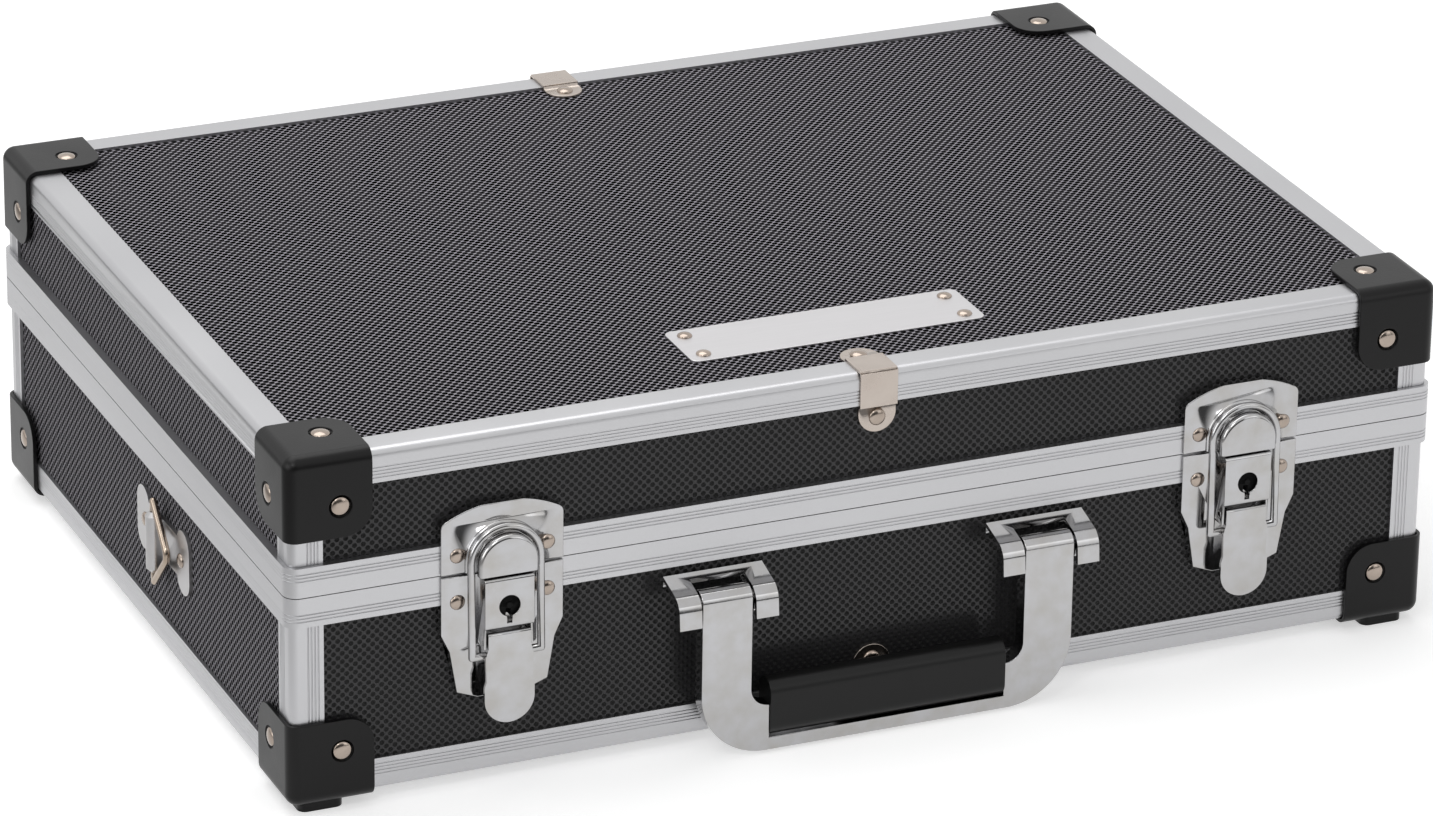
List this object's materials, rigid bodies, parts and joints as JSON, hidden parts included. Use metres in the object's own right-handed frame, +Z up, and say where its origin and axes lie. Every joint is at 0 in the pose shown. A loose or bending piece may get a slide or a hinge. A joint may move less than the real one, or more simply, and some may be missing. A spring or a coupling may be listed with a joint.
{
  "type": "hard tool case",
  "caption": "Low aluminium-framed carrying case with dark embossed panels, moulded corners, key-locking draw latches, a swing handle and a hinged lid.",
  "frame": {"origin": "middle of the case's footprint, on the ground under the feet", "axes": "+X towards the case's right side seen from the front, +Y towards the hinges, +Z up"},
  "size_m": [0.4376, 0.3252, 0.1321],
  "materials": {
    "skin": "board core under an embossed dark plastic skin",
    "extrusion": "satin, finely grooved",
    "mould": "matt",
    "nickel": "nickel plated",
    "plate": "brushed, bare",
    "foam": "open-cell foam, stated with its own mass in mass_source",
    "divider": "matt",
    "chrome": "bright"
  },
  "bodies": {
    "base": {"base_bottom_panel": "skin", "base_front_panel": "skin", "base_rear_panel": "skin", "base_left_panel": "skin", "base_right_panel": "skin", "base_front_edge": "extrusion", "base_rear_edge": "extrusion", "base_left_edge": "extrusion", "base_right_edge": "extrusion", "base_posts": "extrusion", "base_rim": "extrusion", "base_protector_front_left": "mould", "base_protector_front_right": "mould", "base_protector_rear_left": "mould", "base_protector_rear_right": "mould", "base_clips": "nickel", "base_rivets": "nickel", "latch_plate_left": "chrome", "latch_plate_right": "chrome", "handle_bracket_left": "chrome", "handle_bracket_right": "chrome", "strap_brackets": "nickel", "hinge_base_leaves": "chrome", "pivot_pins": "chrome", "base_pad": "foam", "divider_long": "divider", "divider_cross": "divider"},
    "left_lever": {"latch_lever_left": "chrome"},
    "right_lever": {"latch_lever_right": "chrome"},
    "left_bail": {"latch_bail_left": "chrome"},
    "right_bail": {"latch_bail_right": "chrome"},
    "left_lock": {"lock_barrel_left": "chrome"},
    "right_lock": {"lock_barrel_right": "chrome"},
    "handle": {"handle_frame": "chrome", "handle_grip": "mould"},
    "left_ring": {"strap_ring_left": "nickel"},
    "right_ring": {"strap_ring_right": "nickel"},
    "lid": {"lid_top_panel": "skin", "lid_front_panel": "skin", "lid_rear_panel": "skin", "lid_left_panel": "skin", "lid_right_panel": "skin", "lid_front_edge": "extrusion", "lid_rear_edge": "extrusion", "lid_left_edge": "extrusion", "lid_right_edge": "extrusion", "lid_posts": "extrusion", "lid_rim": "extrusion", "lid_protector_front_left": "mould", "lid_protector_front_right": "mould", "lid_protector_rear_left": "mould", "lid_protector_rear_right": "mould", "lid_clips": "nickel", "lid_rivets": "nickel", "latch_catch_left": "chrome", "latch_catch_right": "chrome", "hinge_lid_leaves": "chrome", "blank_plate": "plate", "lid_foam": "foam"}
  },
  "joints": [
    {"name": "lid_hinge", "type": "hinge", "parent": "base", "child": "lid", "pos_m": [0, 0.15957, 0.0812], "axis": [-1, 0, 0], "range_deg": [0, 100]},
    {"name": "handle_swing", "type": "hinge", "parent": "base", "child": "handle", "pos_m": [0, -0.15637, 0.0592], "axis": [-1, 0, 0], "range_deg": [0, 95]},
    {"name": "left_lever_turn", "type": "hinge", "parent": "base", "child": "left_lever", "pos_m": [-0.138, -0.15338, 0.0582], "axis": [-1, 0, 0], "range_deg": [0, 90]},
    {"name": "left_bail_turn", "type": "hinge", "parent": "left_lever", "child": "left_bail", "pos_m": [-0.138, -0.15388, 0.0516], "axis": [-1, 0, 0], "range_deg": [-90, 0]},
    {"name": "left_key_turn", "type": "hinge", "parent": "base", "child": "left_lock", "pos_m": [-0.138, -0.15268, 0.0702], "axis": [0, 1, 0], "range_deg": [0, 90]},
    {"name": "left_ring_swing", "type": "hinge", "parent": "base", "child": "left_ring", "pos_m": [-0.2158, -0.01667, 0.047], "axis": [0, 0, -1], "range_deg": [0, 170]},
    {"name": "right_lever_turn", "type": "hinge", "parent": "base", "child": "right_lever", "pos_m": [0.138, -0.15338, 0.0582], "axis": [-1, 0, 0], "range_deg": [0, 90]},
    {"name": "right_bail_turn", "type": "hinge", "parent": "right_lever", "child": "right_bail", "pos_m": [0.138, -0.15388, 0.0516], "axis": [-1, 0, 0], "range_deg": [-90, 0]},
    {"name": "right_key_turn", "type": "hinge", "parent": "base", "child": "right_lock", "pos_m": [0.138, -0.15268, 0.0702], "axis": [0, 1, 0], "range_deg": [0, 90]},
    {"name": "right_ring_swing", "type": "hinge", "parent": "base", "child": "right_ring", "pos_m": [0.2158, -0.01667, 0.047], "axis": [0, 0, 1], "range_deg": [0, 170]}
  ],
  "couplings": [
    {"joint": "left_bail_turn", "follows": "left_lever_turn", "ratio": -1},
    {"joint": "right_bail_turn", "follows": "right_lever_turn", "ratio": -1}
  ]
}
